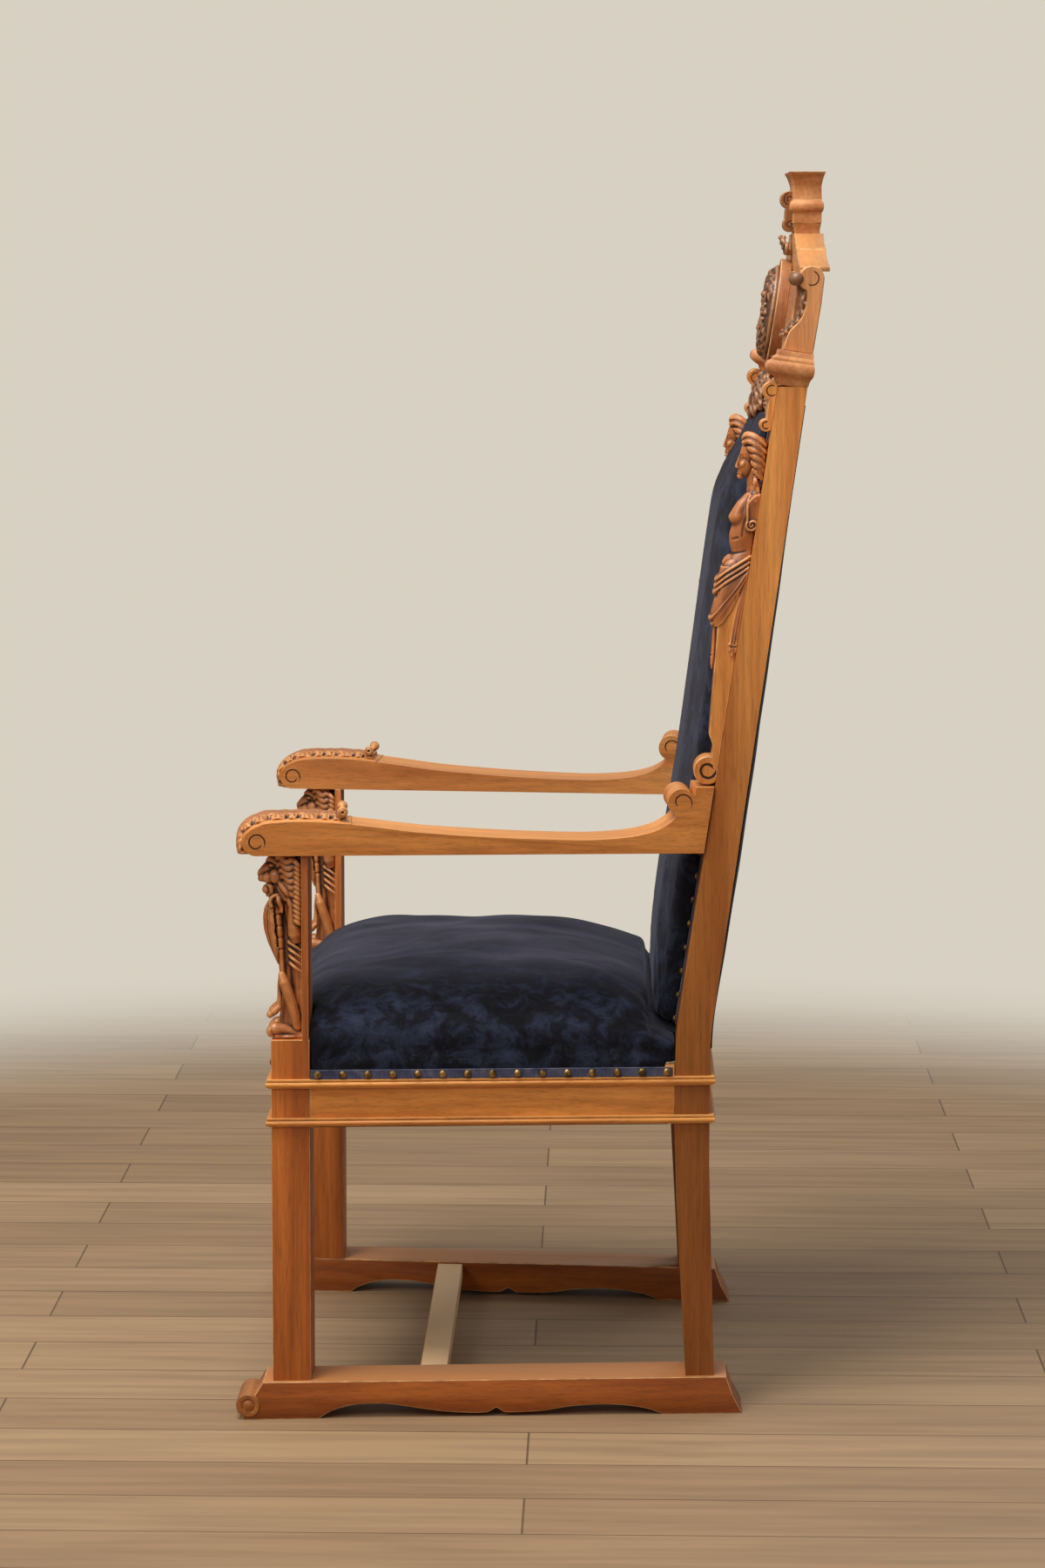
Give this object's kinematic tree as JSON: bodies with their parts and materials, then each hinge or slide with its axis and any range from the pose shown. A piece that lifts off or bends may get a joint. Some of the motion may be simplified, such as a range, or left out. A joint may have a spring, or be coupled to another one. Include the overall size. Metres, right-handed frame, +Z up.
{
  "type": "throne chair",
  "caption": "High-backed carved wooden throne chair with lion arm supports, draped figures on the posts, a moulded crest, and a stuffed velvet seat and back on sled runners.",
  "frame": {"origin": "on the floor, below the middle of the chair's whole width and depth", "axes": "+Z up, -Y towards the front of the chair, +X towards the sitter's left hand"},
  "size_m": [0.693, 0.7128, 1.5071],
  "materials": {
    "walnut": "satin",
    "carved_walnut": "satin",
    "pale_wood": "satin",
    "velvet": "crushed pile",
    "braid": "woven",
    "nail_brass": "antiqued",
    "webbing": "jute",
    "spring_steel": "plain",
    "dust_cloth": "plain weave"
  },
  "bodies": {
    "root": {"runner_left": "walnut", "runner_right": "walnut", "floor_stretcher": "pale_wood", "front_post_left": "walnut", "front_post_right": "walnut", "rear_post_left": "walnut", "rear_post_right": "walnut", "side_rail_left": "walnut", "side_rail_right": "walnut", "front_rail": "walnut", "rear_rail": "walnut", "corner_blocks": "pale_wood", "moulding_left": "walnut", "moulding_right": "walnut", "moulding_front": "walnut", "moulding_rear": "walnut", "seat_webbing": "webbing", "seat_springs": "spring_steel", "spring_canvas": "webbing", "seat_cushion": "velvet", "seat_gimp": "braid", "seat_nails": "nail_brass", "dust_cover": "dust_cloth", "arm_left": "walnut", "arm_right": "walnut", "arm_leaf_left": "carved_walnut", "arm_leaf_right": "carved_walnut", "arm_dowels": "pale_wood", "lion_left": "carved_walnut", "lion_right": "carved_walnut", "herm_left": "walnut", "herm_right": "walnut", "caryatid_left": "carved_walnut", "caryatid_right": "carved_walnut", "console_left": "walnut", "console_right": "walnut", "post_cap_left": "walnut", "post_cap_right": "walnut", "ear_left": "walnut", "ear_right": "walnut", "back_low_rail": "walnut", "back_top_rail": "walnut", "back_webbing": "webbing", "back_pad": "velvet", "back_gimp": "braid", "back_nails": "nail_brass", "outside_back": "velvet", "crest_board": "walnut", "crest_rail": "walnut", "crest_cornice": "walnut", "crest_keystone": "walnut", "cartouche": "carved_walnut", "cartouche_rim": "walnut", "cartouche_crown": "carved_walnut", "crest_pendant": "carved_walnut"}
  },
  "joints": []
}
